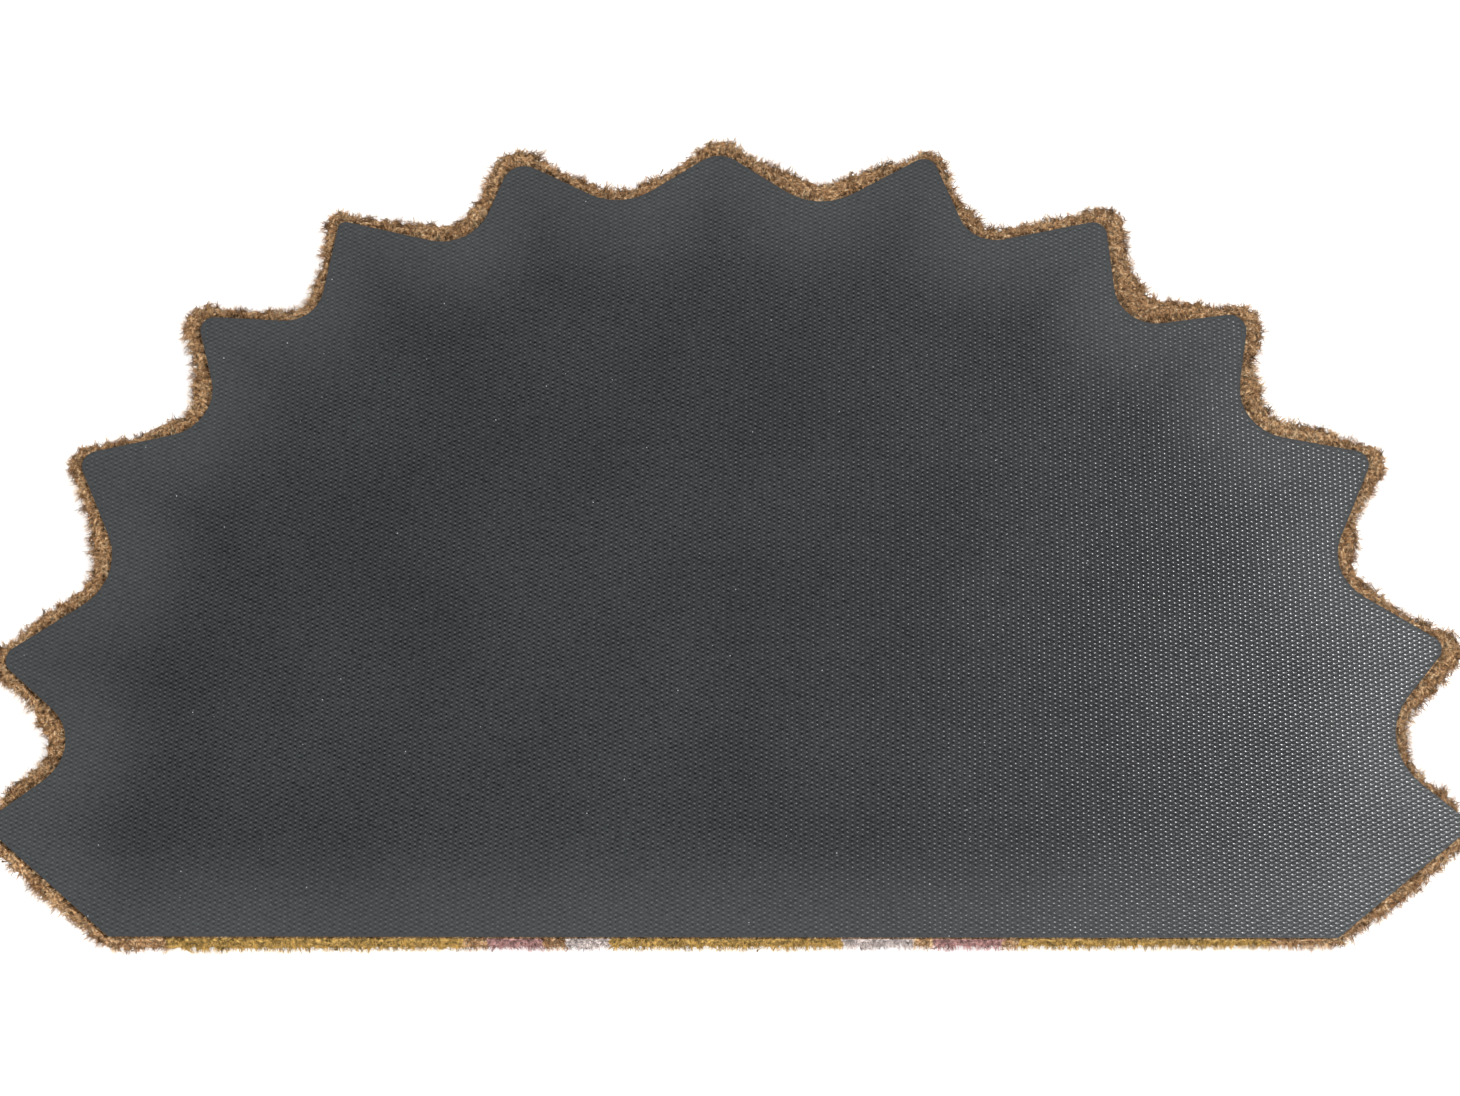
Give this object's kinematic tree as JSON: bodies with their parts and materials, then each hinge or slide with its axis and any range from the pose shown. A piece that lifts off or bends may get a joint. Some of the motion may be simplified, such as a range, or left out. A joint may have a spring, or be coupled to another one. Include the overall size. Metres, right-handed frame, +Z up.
{
  "type": "coir doormat",
  "caption": "Half-sun coir doormat with a rayed edge, a flat embossed vinyl backing and a short coir pile that splays past it, lying backing up.",
  "frame": {"origin": "centre of the footprint, on the plane that the pile rests on", "axes": "+X along the straight edge, +Y from the straight edge towards the middle ray, +Z up out of the backing"},
  "size_m": [0.753, 0.4484, 0.015],
  "materials": {
    "coir_fibre": "matte natural coir, dyed in bands where it meets the straight edge",
    "embossed_vinyl": "satin slate grey vinyl with a fine embossed grid"
  },
  "bodies": {
    "root": {"coir_pile": "coir_fibre", "vinyl_backing": "embossed_vinyl"}
  },
  "joints": []
}
